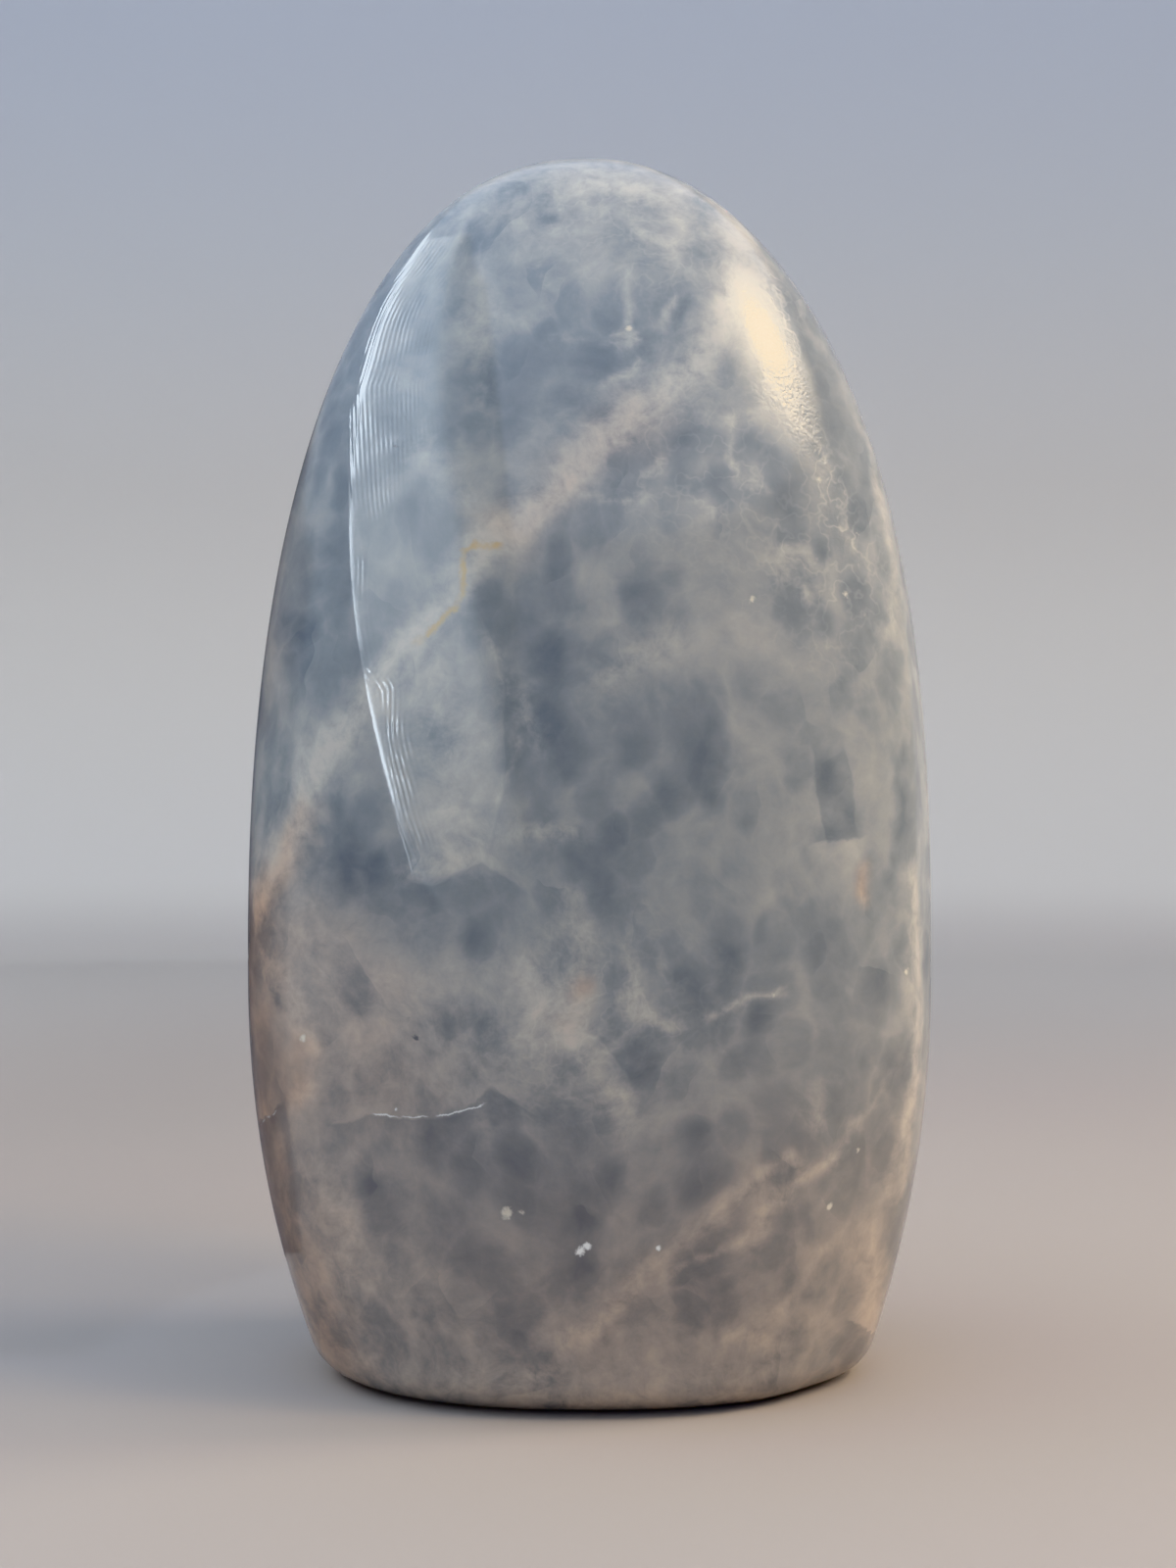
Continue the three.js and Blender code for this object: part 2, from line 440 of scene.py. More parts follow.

# %% [markdown]
# The clear grains are crystals with few bubbles in them. Light goes in and doesn't come back, so they look
# dark and more blue. One mark among them is painted shade: it darkens the lower left edge, where the edge
# mirrors the floor lying in shade.

# %% Clear, dark grains
UPPER_GRAINS = [
    (1.7, 0.90, [(516, 391), (530, 407)]),
    (1.4, 0.80, [(595, 412), (620, 418)]),
    (1.5, 0.90, [(629, 350), (632, 362)]),
    (3.6, 0.28, [(560, 290), (600, 330)]),
    (3.0, 0.30, [(590, 372), (565, 400)]),
    (2.4, 0.40, [(440, 310), (430, 360)]),
    (1.0, 0.50, [(470, 228), (488, 252)]),
    (0.9, 0.50, [(527, 191)]),
    (0.6, 0.60, [(557, 215)]),
    (1.2, 0.60, [(617, 204)]),
    (0.6, 0.70, [(692, 345), (702, 320)]),
    (0.5, 0.75, [(665, 386), (655, 398)]),
]
SHOULDER_GRAINS = [
    (1.1, 0.80, [(697, 434)]),
    (1.5, 0.90, [(760, 462), (785, 476)]),
    (1.0, 0.80, [(828, 463)]),
    (1.0, 0.60, [(860, 494)]),
    (1.1, 0.80, [(690, 484), (722, 494)]),
    (0.9, 0.70, [(637, 491)]),
    (0.9, 0.60, [(668, 530)]),
    (0.7, 0.70, [(713, 530)]),
    (1.3, 0.60, [(652, 593)]),
    (1.2, 0.70, [(575, 550), (572, 610)]),
    (0.8, 0.60, [(841, 574)]),
    (1.1, 0.80, [(834, 628)]),
    (1.0, 0.60, [(810, 500), (800, 520)]),
    (1.6, 0.40, [(800, 650), (815, 670)]),
    (1.1, 0.50, [(860, 683)]),
]
LEFT_GRAINS = [
    (1.8, 0.45, [(329, 437), (318, 500)]),
    (6.0, 0.30, [(320, 420), (300, 560), (290, 660)]),
    (1.5, 0.40, [(330, 590), (345, 610)]),
    (1.2, 0.60, [(294, 664), (300, 640)]),
    (1.1, 0.60, [(314, 640), (310, 690)]),
    (0.9, 0.60, [(275, 753), (278, 720)]),
    (1.5, 0.95, [(345, 835), (352, 880)]),
    (1.0, 0.50, [(380, 880), (395, 860)]),
    (1.7, 0.80, [(430, 905), (440, 930), (435, 965)]),
    (1.4, 0.60, [(470, 910), (475, 960)]),
    (2.0, 0.50, [(430, 1020), (450, 1060)]),
    (1.5, 0.50, [(500, 1040), (520, 1090)]),
    (0.8, 0.60, [(285, 1015)]),
    (1.4, 0.80, [(386, 1215), (380, 1260)]),
    (0.8, 0.80, [(455, 1130), (500, 1110), (545, 1135)]),
]
MIDDLE_GRAINS_AND_EDGE_SHADE = [
    (2.0, 0.50, [(530, 650), (540, 700), (548, 770)]),
    (1.4, 0.60, [(566, 650), (560, 700)]),
    (2.7, 0.85, [(580, 868), (600, 900)]),
    (0.35, 1.0, [(602, 1052), (612, 1056)]),
    (1.2, 0.70, [(630, 1040), (640, 1070)]),
    (0.8, 0.60, [(663, 1082)]),
    (1.3, 0.80, [(640, 766)]),
    (1.6, 0.60, [(672, 817)]),
    (1.2, 0.70, [(714, 755), (718, 805)]),
    (0.7, 0.50, [(758, 830)]),
    (1.8, 0.60, [(610, 930), (600, 910)]),
    (1.2, 0.62, [(842, 780), (856, 845)]),
    (0.8, 0.60, [(784, 940), (776, 965)]),
    (1.1, 0.70, [(688, 976)]),
    (1.1, 0.55, [(748, 983)]),
    (1.0, 0.50, [(688, 1011)]),
    (0.9, 0.80, [(921, 775), (917, 839)]),
    # Painted shade, not a grain: darkens the lower left edge, where it mirrors the floor in shade.
    (2.4, 0.45, [(255, 950), (256, 1060), (264, 1150)]),
    (0.8, 0.60, [(912, 870), (905, 900)]),
]
LOWER_GRAINS = [
    (4.2, 0.50, [(440, 1150), (540, 1170), (590, 1220)]),
    (2.4, 0.45, [(460, 1260), (500, 1300)]),
    (1.0, 0.70, [(774, 1040), (770, 1085)]),
    (1.4, 0.60, [(880, 1073)]),
    (1.1, 0.60, [(721, 1147)]),
    (1.8, 0.70, [(710, 1202)]),
    (0.9, 0.80, [(625, 1194), (613, 1217)]),
    (1.0, 0.50, [(683, 1249)]),
    (0.5, 0.80, [(748, 1232), (798, 1200)]),
    (1.9, 0.55, [(722, 1270), (735, 1320)]),
    (1.3, 0.55, [(827, 1241)]),
    (1.8, 0.55, [(800, 1325), (808, 1370)]),
    (1.4, 0.50, [(742, 1390)]),
    (1.6, 0.40, [(853, 1373)]),
    (0.8, 0.50, [(617, 1360)]),
]
clear = field_of(UPPER_GRAINS + SHOULDER_GRAINS + LEFT_GRAINS + MIDDLE_GRAINS_AND_EDGE_SHADE + LOWER_GRAINS, bent_points)
# The clear field: clear grains, and painted shade on the lower left edge.
store("clear", clear)

# %% [markdown]
# Iron has stained one crack in the great vein ochre, and has warmed the stone where the vein leaves on the
# left.
# Near the foot and down the lower left edge, a warmer and darker tint is painted shade, with a painted
# reflection of the floor in it. A bluer tint over the upper front is a painted reflection of the cool sky.
# White cracks are breaks under the skin. The brightest flecks are painted glints of flakes under the skin that
# mirror the light.

# %% Stains, painted shade and sky reflection, cracks and glints
IRON_CRACK = [
    (515, 556),
    (500, 557),
    (488, 554),
    (476, 562),
    (472, 580),
    (473, 605),
    (462, 622),
    (445, 638),
    (430, 651),
    (417, 657),
]
WARM_STAINS_AND_SHADE = [
    (1.8, 0.45, [(310, 842), (285, 885), (262, 925)]),
    # The next three marks are painted shade, not stains: a warmer, darker tint down the lower left edge, along
    # the foot and over the lower front, with a painted reflection of the floor in it.
    (5.2, 1.00, [(258, 960), (262, 1060), (275, 1180), (300, 1290), (330, 1370)]),
    (8.0, 1.00, [(340, 1410), (480, 1440), (620, 1440), (800, 1425)]),
    (16.0, 0.42, [(300, 1150), (420, 1300), (620, 1330), (860, 1290)]),
    (7.0, 0.30, [(330, 960), (380, 1080)]),
    (2.4, 0.25, [(660, 425), (590, 480), (520, 545)]),
    (4.0, 0.25, [(310, 470), (285, 600), (275, 700)]),
    (2.2, 0.10, [(600, 1370), (660, 1300), (740, 1240), (820, 1190)]),
    (0.7, 0.55, [(880, 885), (884, 905)]),
    (1.4, 0.50, [(300, 1060), (290, 1110)]),
    (0.8, 0.50, [(590, 1000), (570, 1040)]),
]
# A painted reflection: the upper front is tinted bluer, as if the cool sky were mirrored there.
PAINTED_SKY_AREAS = [(13.0, 0.5, [(580, 330), (470, 330)])]
WHITE_CRACKS = [
    [(336, 1146), (352, 1146), (376, 1136), (404, 1140), (445, 1139), (470, 1134), (498, 1126)],
    [(266, 1148), (275, 1139), (284, 1133)],
]


def store_line(name, spots):
    """Stores where a thin line runs: how far each point is beside it, and how far past its ends."""
    beside, beyond = beside_path(spots)
    store(name, beside)
    store(name + "_end", beyond)


store_line("iron", IRON_CRACK)
# The warm field holds real stains and, at the foot and the lower left edge, painted shade.
store("warm", field_of(WARM_STAINS_AND_SHADE, bent_points))
# The cool field is a painted reflection of the cool sky on the upper front.
store("cool", field_of(PAINTED_SKY_AREAS, bent_points))
for number, path in enumerate(WHITE_CRACKS):
    store_line(f"crack_{number}", path)

# %% [markdown]
# In some places a milky grain ends at a clean edge with clear stone beyond it, such as the upright plate at
# the right and the step under the bright line. A soft mark can't show this, so an edge is stored as a line.
# Each is how much milkier the left of the path is than its right, how far that reaches in millimetres, and
# the path, with its left taken in the direction of travel.

# %% Edges between milky and clear grains
LEDGES = [
    (0.30, 2.2, [(843, 862), (834, 815), (829, 762)]),
    (0.22, 1.8, [(862, 762), (870, 800), (874, 850)]),
    # Partly painted reflection: a real edge that also lightens its left side, where the window's sheen on the
    # front flat lies, and darkens its right.
    (0.18, 9.0, [(500, 860), (514, 807), (514, 750), (514, 696), (504, 660), (492, 629)]),
    (0.32, 3.0, [(336, 1146), (352, 1146), (376, 1136), (404, 1142), (445, 1141), (470, 1136), (500, 1112)]),
    (0.25, 3.0, [(500, 1112), (524, 1122), (548, 1140)]),
    (0.45, 4.0, [(262, 1150), (275, 1139), (287, 1126)]),
    (0.40, 2.2, [(882, 853), (855, 858), (828, 861)]),
    (0.42, 6.0, [(866, 1345), (880, 1354), (895, 1363)]),
    (0.25, 3.0, [(419, 900), (440, 905), (460, 893), (490, 880), (530, 905)]),
    (0.22, 4.0, [(645, 1105), (632, 1085), (612, 1060), (585, 1050)]),
]
for number, (_, _, path) in enumerate(LEDGES):
    store_line(f"ledge_{number}", path)

# %% [markdown]
# The wheel and the polish leave marks too. Fine ripples run beside the line where the long front flat meets
# the rest, and the right shoulder has a net of tiny open grain borders. Both show only in a reflection, so
# they are stored as places for the shader to make fine relief at. A line thinner than the mesh's facets is
# stored by how far each point is beside it: those numbers run straight through the line, so it stays thin and
# whole between the points. Where a web of hair-thin films shows in the stone is stored here too, because it
# is strongest at the open grain borders.

# %% Where the polish has marks
FLAT_BORDER = [
    (440, 235),
    (400, 290),
    (375, 350),
    (358, 400),
    (358, 475),
    (366, 560),
    (375, 680),
    (390, 705),
    (406, 791),
    (425, 885),
]
RIPPLED = [
    (4.6, 1.0, [(420, 285), (392, 380), (385, 440)]),
    (1.6, 0.9, [(385, 505)]),
    (0.9, 0.5, [(370, 560), (373, 680)]),
    (2.0, 1.0, [(393, 715), (403, 770), (413, 820), (424, 870)]),
]
NETTED = [
    (1.6, 0.50, [(765, 300), (785, 350), (805, 400)]),
    (1.5, 1.00, [(790, 295), (812, 350), (830, 420)]),
    (1.9, 0.90, [(815, 430), (835, 470), (860, 540)]),
    (2.2, 0.50, [(865, 550), (880, 610)]),
]
WEBBED = NETTED + [
    (7.0, 0.42, [(700, 470), (790, 520), (850, 610)]),
    (6.0, 0.30, [(600, 220), (690, 270)]),
    (5.0, 0.30, [(560, 1090), (600, 1000), (700, 1020)]),
]
border_gap = beside_path(FLAT_BORDER)[0]
patchy = np.clip(1.3 + 1.3 * soft_noise(points, 2.4, 21)[:, 0], 0, 1)
broken = 0.8 + 0.9 * soft_noise(points, 1.1, 22)[:, 0]
near_border = 0.6 + np.exp(-np.abs(border_gap) / 1.2)
# The path runs down the front, so its left is the viewer's right, where border_gap is less than 0.
right_of_border = np.clip(1.2 - border_gap / 0.5, 0, 1)
store("ripple_gap", border_gap + 0.5 * soft_noise(points, 5.0, 23)[:, 0])
store("rippled", field_of(RIPPLED, points) * patchy * broken * near_border * right_of_border)
store("netted", field_of(NETTED, bent_points))
store("webbed", field_of(WEBBED, bent_points))

# %% [markdown]
# ## The cloudy body of the stone
#
# Between the placed marks the stone is a crowd of grains from a few millimetres to a centimetre across, some
# clear and some cloudy, with milky films between them. A pattern in space suits this better than one on the
# surface: it goes round the sides without a stretch or a seam. Voronoi cells are the grains, and noise bends
# them first so that no border stays straight.

# %% Small helpers for shader nodes
def new_node(tree, kind, sockets, **settings):
    """Adds a node, sets its settings, and fills its sockets: with a link if given a socket, or a value."""
    node = tree.nodes.new(kind)
    for name, value in settings.items():
        setattr(node, name, value)
    for name, value in sockets.items():
        if isinstance(value, bpy.types.NodeSocket):
            tree.links.new(value, node.inputs[name])
        else:
            node.inputs[name].default_value = value
    return node


def maths(tree, operation, first, second=0.0, third=0.0):
    """The result of one Math node."""
    sockets = {0: first, 1: second, 2: third}
    return new_node(tree, "ShaderNodeMath", sockets, operation=operation).outputs[0]


def spread(tree, value, low, high, to_low=0.0, to_high=1.0):
    """A value spread smoothly from low..high to to_low..to_high, and held at the ends."""
    sockets = {"Value": value, "From Min": low, "From Max": high, "To Min": to_low, "To Max": to_high}
    return new_node(tree, "ShaderNodeMapRange", sockets, interpolation_type="SMOOTHSTEP").outputs[0]


def blend(tree, share, first, second, blend_type="MIX"):
    """Two colours mixed by share."""
    sockets = {0: share, 6: first, 7: second}
    node = new_node(tree, "ShaderNodeMix", sockets, data_type="RGBA", blend_type=blend_type)
    return node.outputs[2]


def stored(tree, name):
    """The value that store put on the stone under this name."""
    return new_node(tree, "ShaderNodeAttribute", {}, attribute_name=name).outputs["Fac"]


def new_group(name, inputs, outputs):
    """An empty node group with typed sockets, and its two end nodes."""
    group = bpy.data.node_groups.new(name, "ShaderNodeTree")
    for label, (kind, value) in inputs.items():
        socket = group.interface.new_socket(name=label, in_out="INPUT", socket_type=kind)
        if value is not None:
            socket.default_value = value
    for label, kind in outputs.items():
        group.interface.new_socket(name=label, in_out="OUTPUT", socket_type=kind)
    return group, group.nodes.new("NodeGroupInput"), group.nodes.new("NodeGroupOutput")


# %% The grain pattern
SLOW_BEND, FAST_BEND = (14.0, 5.0), (2.2, 1.3)
CLOUD_SIZE, PATCH_SIZE, BIG_GRAIN, SMALL_GRAIN, FILM_SIZE, FINE_SIZE = 20.0, 7.0, 5.6, 2.9, 7.0, 1.6
GRAIN_SQUASH = (1, 1, 0.72)
BODY_START = -0.03
BODY_GAINS = {
    "clouds": 0.75, "patches": 0.45, "big grains": -0.23, "small grains": -0.20, "big web": 0.10,
    "small web": 0.12, "films": 0.09,
}


def make_calcite_body():
    """Body: from a place in millimetres to how milky the stone is there, from 0, clear, to 1, cloudy."""
    group, start, end = new_group(
        "calcite body",
        {"Place": ("NodeSocketVector", None)},
        {"Milk": "NodeSocketFloat", "Fine": "NodeSocketFloat"},
    )
    place = start.outputs["Place"]

    def noise(at, size, detail, roughness=0.5):
        """Fractal noise with its biggest lumps about size millimetres across."""
        sockets = {"Vector": at, "Scale": 1 / size, "Detail": detail, "Roughness": roughness}
        return new_node(group, "ShaderNodeTexNoise", sockets)

    def bend(at, size, amount):
        """Shifts a place by up to about half of amount millimetres."""
        sockets = {0: noise(at, size, 1.0).outputs["Color"], 1: (0.5,) * 3}
        shift = new_node(group, "ShaderNodeVectorMath", sockets, operation="SUBTRACT")
        sockets = {0: shift.outputs[0], 1: (amount,) * 3, 2: at}
        return new_node(group, "ShaderNodeVectorMath", sockets, operation="MULTIPLY_ADD").outputs[0]

    def grains(at, size):
        """Grains about size millimetres across: Voronoi cells, squashed so that they stand a little taller
        than wide. Gives how clear each grain is, random from grain to grain and fading to its border, and the
        web of borders between them."""
        sockets = {0: at, 1: GRAIN_SQUASH}
        upright = new_node(group, "ShaderNodeVectorMath", sockets, operation="MULTIPLY").outputs[0]
        cell = new_node(group, "ShaderNodeTexVoronoi", {"Vector": upright, "Scale": 1 / size}, feature="F1")
        value = new_node(group, "ShaderNodeSeparateColor", {0: cell.outputs["Color"]}).outputs[0]
        inside = spread(group, cell.outputs["Distance"], 0.28, 0.64, 1.0, 0.0)
        own = maths(group, "MULTIPLY", spread(group, value, 0.15, 0.85), inside)
        return own, spread(group, cell.outputs["Distance"], 0.50, 0.80)

    def films(at, size, thinness):
        """Soft bright folds where fractal noise passes through its middle: 1 - thinness * |2 n - 1|."""
        value = noise(at, size, 1.0, 0.5).outputs[0]
        fold = maths(group, "ABSOLUTE", maths(group, "MULTIPLY_ADD", value, 2.0, -1.0))
        return spread(group, maths(group, "MULTIPLY_ADD", fold, -thinness, 1.0), 0.0, 1.0)

    wide = bend(bend(place, *SLOW_BEND), *FAST_BEND)
    big, big_web = grains(wide, BIG_GRAIN)
    small, small_web = grains(wide, SMALL_GRAIN)
    parts = {
        "clouds": noise(place, CLOUD_SIZE, 2.0).outputs[0],
        "patches": noise(wide, PATCH_SIZE, 2.0).outputs[0],
        "big grains": big,
        "small grains": small,
        "big web": big_web,
        "small web": small_web,
        "films": films(wide, FILM_SIZE, 6.0),
    }
    milk = BODY_START
    for name, gain in BODY_GAINS.items():
        milk = maths(group, "MULTIPLY_ADD", parts[name], gain, milk)
    group.links.new(milk, end.inputs["Milk"])
    group.links.new(noise(wide, FINE_SIZE, 4.0, 0.68).outputs[0], end.inputs["Fine"])
    return group


calcite_body = make_calcite_body()
print("node group:", calcite_body.name, len(calcite_body.nodes), "nodes")

# %% [markdown]
# ## The polished finish
#
# Calcite bends light strongly, so a polish on it mirrors brightly. Some light also goes in, scatters in the
# milk and comes out a millimetre or two away. That softens every mark, as in the real stone, and is why the
# edges glow. Subsurface scattering does this without the cost of a real volume.

# %% Tiny flecks, each as its half width in millimetres and its place in the photograph
FLECKS = {
    # Painted glints: flakes under the skin that mirror the light, painted as fixed bright specks.
    "painted_glint": [(0.36, 592, 1277), (0.3, 600, 1271), (0.22, 671, 1273), (0.22, 404, 1132)],
    "cream": [
        (0.3, 642, 335), (0.45, 519, 1239), (0.35, 531, 1237), (0.35, 767, 612), (0.4, 863, 606),
        (0.25, 882, 628), (0.45, 836, 490), (0.35, 876, 545), (0.3, 875, 1173), (0.3, 846, 1232),
        (0.3, 790, 1015), (0.35, 925, 992), (0.4, 309, 1059),
    ],
    "dark": [(0.35, 403, 455), (0.25, 425, 1060)],
}
FLECK_COLOURS = {
    "painted_glint": (0.78, 0.78, 0.75, 1),
    "cream": (0.60, 0.55, 0.46, 1),
    "dark": (0.13, 0.13, 0.14, 1),
}

# %% The relief that the polish leaves
RIPPLE_PITCH = 0.42
NET_SIZE = 0.6
ROUGHNESS, NET_ROUGHNESS, FINE_ROUGHNESS = 0.08, 0.12, 0.08
RIPPLE_HEIGHT = 0.0062
NET_HEIGHT = 0.028


def make_polish_marks():
    """Polish marks: heights in millimetres and the roughness, where the stored fields say the marks are."""
    fields = ("ripple_gap", "rippled", "netted", "Fine")
    inputs = {"Place": ("NodeSocketVector", None), **{name: ("NodeSocketFloat", 0.0) for name in fields}}
    outputs = {"Height": "NodeSocketFloat", "Roughness": "NodeSocketFloat"}
    group, start, end = new_group("polish marks", inputs, outputs)
    place = start.outputs["Place"]

    def noise(at, size, detail):
        sockets = {"Vector": at, "Scale": 1 / size, "Detail": detail}
        return new_node(group, "ShaderNodeTexNoise", sockets).outputs[0]

    phase = maths(group, "MULTIPLY", start.outputs["ripple_gap"], 2 * np.pi / RIPPLE_PITCH)
    wave = maths(group, "SINE", phase)
    height = maths(group, "MULTIPLY", wave, maths(group, "MULTIPLY", start.outputs["rippled"], RIPPLE_HEIGHT))

    fold = maths(group, "ABSOLUTE", maths(group, "MULTIPLY_ADD", noise(place, NET_SIZE, 1.0), 2.0, -1.0))
    grooves = maths(group, "MULTIPLY", fold, start.outputs["netted"])
    height = maths(group, "MULTIPLY_ADD", grooves, NET_HEIGHT, height)
    group.links.new(height, end.inputs["Height"])

    rough = maths(group, "MULTIPLY_ADD", start.outputs["netted"], NET_ROUGHNESS, ROUGHNESS)
    rough = maths(group, "MULTIPLY_ADD", start.outputs["Fine"], FINE_ROUGHNESS, rough)
    group.links.new(rough, end.inputs["Roughness"])
    return group


polish_marks = make_polish_marks()
print("node group:", polish_marks.name, len(polish_marks.nodes), "nodes")

# %% Polished calcite
CLEAR_BLUE = (0.135, 0.155, 0.178, 1)
BODY_GREY = (0.262, 0.274, 0.278, 1)
MILK_CREAM = (0.50, 0.465, 0.41, 1)
STAIN_AND_SHADE_TINT = (1.08, 0.775, 0.61, 1)
PAINTED_SKY_TINT = (0.86, 0.97, 1.10, 1)
IRON_OCHRE = (0.50, 0.37, 0.19, 1)
FLAKE_WHITE = (0.8, 0.8, 0.78, 1)
REFRACTIVE_INDEX = 1.6
LINE_STRENGTH = 0.75

# How much each thing adds to the milk, how far the milky marks hide the grains, and how uneven they are.
MILKY_GAIN, CLEAR_GAIN, WEB_GAIN, FINE_GAIN = 0.71, -0.48, 0.36, 0.44
MILKY_HIDES, MILKY_UNEVEN = 0.6, 1.3

# From how much milk to how much the colour goes from the clear blue to the grey, and on to the cream.
GREY_FROM, GREY_TO = -0.22, 0.77
CREAM_FROM, CREAM_TO, CREAM_IN_MILKY = 0.45, 1.50, 0.35


def thin_line(tree, name, fine, wander, half_width):
    """How strongly a stored line shows: LINE_STRENGTH on it and 0 from half_width on. The line wanders with
    the fine noise."""
    shifted = maths(tree, "MULTIPLY_ADD", fine, wander, stored(tree, name))
    line = spread(tree, maths(tree, "ABSOLUTE", shifted), 0.0, half_width, LINE_STRENGTH, 0.0)
    return maths(tree, "MULTIPLY", line, spread(tree, stored(tree, name + "_end"), -0.6, 0.1, 1.0, 0.0))


def ledge(tree, number, fine):
    """How much a ledge adds to the milk: half its strength on its light side, and takes on its dark side."""
    strength, reach, _ = LEDGES[number]
    gap = maths(tree, "MULTIPLY_ADD", fine, 1.2, stored(tree, f"ledge_{number}"))
    side = spread(tree, gap, -0.15, 0.15, strength / 2, -strength / 2)
    near = spread(tree, maths(tree, "ABSOLUTE", gap), 0.0, reach, 1.0, 0.0)
    ends = spread(tree, stored(tree, f"ledge_{number}_end"), -1.0, 0.8, 1.0, 0.0)
    return maths(tree, "MULTIPLY", side, maths(tree, "MULTIPLY", near, ends))


def flecks(tree, place, fine, spots):
    """How strongly a list of tiny flecks shows: 1 in a fleck's middle, and 0 from its half width on."""
    total = 0.0
    for half_width, column, row in spots:
        sockets = {0: place, 1: under_pixel(column, row).tolist()}
        gap = new_node(tree, "ShaderNodeVectorMath", sockets, operation="DISTANCE").outputs["Value"]
        gap = maths(tree, "MULTIPLY_ADD", fine, 5.0 * half_width, gap)
        total = maths(tree, "MAXIMUM", spread(tree, gap, 0.0, half_width, 1.0, 0.0), total)
    return total


def make_polished_calcite():
    """The skin's material: the grain pattern, the placed marks and painted shade, reflection and glints make
    its colour, under a bright polish.
    """
    material = bpy.data.materials.new("polished calcite")
    material.use_nodes = True
    tree = material.node_tree
    shader = tree.nodes["Principled BSDF"]
    texture = new_node(tree, "ShaderNodeTexCoord", {})
    sockets = {0: texture.outputs["Object"], "Scale": 1 / MM}
    place = new_node(tree, "ShaderNodeVectorMath", sockets, operation="SCALE").outputs[0]
    body = new_node(tree, "ShaderNodeGroup", {}, node_tree=calcite_body)
    tree.links.new(place, body.inputs["Place"])

    fine = maths(tree, "SUBTRACT", body.outputs["Fine"], 0.5)
    milky = stored(tree, "milky")
    shown = maths(tree, "MULTIPLY_ADD", milky, -MILKY_HIDES, 1.0)
    grains = maths(tree, "MULTIPLY", body.outputs["Milk"], shown)
    fibrous = maths(tree, "MULTIPLY_ADD", fine, MILKY_UNEVEN, MILKY_GAIN)
    milk = maths(tree, "MULTIPLY_ADD", milky, fibrous, grains)
    # The clear field darkens the grains, and paints shade on the lower left edge.
    milk = maths(tree, "MULTIPLY_ADD", stored(tree, "clear"), CLEAR_GAIN, milk)
    uneven = new_node(tree, "ShaderNodeTexNoise", {"Vector": place, "Scale": 0.52}).outputs[0]
    web = maths(tree, "ABSOLUTE", maths(tree, "MULTIPLY_ADD", uneven, 2.0, -1.0))
    web = maths(tree, "MULTIPLY", spread(tree, web, 0.0, 0.10, 1.0, 0.0), stored(tree, "webbed"))
    milk = maths(tree, "MULTIPLY_ADD", web, WEB_GAIN, milk)
    milk = maths(tree, "MULTIPLY_ADD", fine, FINE_GAIN, milk)
    for number in range(len(LEDGES)):
        milk = maths(tree, "ADD", ledge(tree, number, fine), milk)
    colour = blend(tree, spread(tree, milk, GREY_FROM, GREY_TO), CLEAR_BLUE, BODY_GREY)
    creamy = maths(tree, "MULTIPLY_ADD", milky, CREAM_IN_MILKY, milk)
    colour = blend(tree, spread(tree, creamy, CREAM_FROM, CREAM_TO), colour, MILK_CREAM)
    # The warm tint is stains and painted shade: warmer and darker at the foot and the lower left edge.
    warm = blend(tree, stored(tree, "warm"), (1, 1, 1, 1), STAIN_AND_SHADE_TINT)
    colour = blend(tree, 1.0, colour, warm, "MULTIPLY")
    # The cool tint is a painted reflection of the cool sky on the upper front.
    cool = blend(tree, stored(tree, "cool"), (1, 1, 1, 1), PAINTED_SKY_TINT)
    colour = blend(tree, 1.0, colour, cool, "MULTIPLY")
    patchy = spread(tree, uneven, 0.4, 0.62)
    beads = spread(tree, uneven, 0.36, 0.56, 0.35, 1.0)
    rust = maths(tree, "MULTIPLY", thin_line(tree, "iron", fine, 1.6, 0.48), beads)
    colour = blend(tree, rust, colour, IRON_OCHRE)
    for number in range(len(WHITE_CRACKS)):
        line = maths(tree, "MULTIPLY", thin_line(tree, f"crack_{number}", fine, 0.7, 0.11), patchy)
        colour = blend(tree, line, colour, FLAKE_WHITE)
    for kind, spots in FLECKS.items():
        colour = blend(tree, flecks(tree, place, fine, spots), colour, FLECK_COLOURS[kind])
    tree.links.new(colour, shader.inputs["Base Color"])

    polish = new_node(tree, "ShaderNodeGroup", {"Place": place, "Fine": fine}, node_tree=polish_marks)
    for name in ("ripple_gap", "rippled", "netted"):
        tree.links.new(stored(tree, name), polish.inputs[name])
    relief = new_node(tree, "ShaderNodeBump", {"Height": polish.outputs["Height"], "Distance": MM})
    tree.links.new(relief.outputs["Normal"], shader.inputs["Normal"])
    tree.links.new(polish.outputs["Roughness"], shader.inputs["Roughness"])

    shader.subsurface_method = "BURLEY"
    shader.inputs["IOR"].default_value = REFRACTIVE_INDEX
    shader.inputs["Subsurface Weight"].default_value = 0.5
    shader.inputs["Subsurface Radius"].default_value = (1.0, 0.85, 0.7)
    shader.inputs["Subsurface Scale"].default_value = 1.1 * MM
    return material


stone.data.materials.append(make_polished_calcite())
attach(stone, "root")
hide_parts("stone")

# %% [markdown]
# ## The studio
#
# A plain pale floor runs up into a pale wall that stands all round, so the stone mirrors a quiet room from
# every side. A warm lamp stands high at the right, and its mirror image is the glow on the right shoulder. It
# fades to its rim, and a wider, weaker halo lies round it. A second warm light, low at the right, lights the
# stone's right side but isn't mirrored. A cool window stands at the left.

# %% Floor and wall
FLOOR_COLOUR = (0.375, 0.327, 0.293, 1)
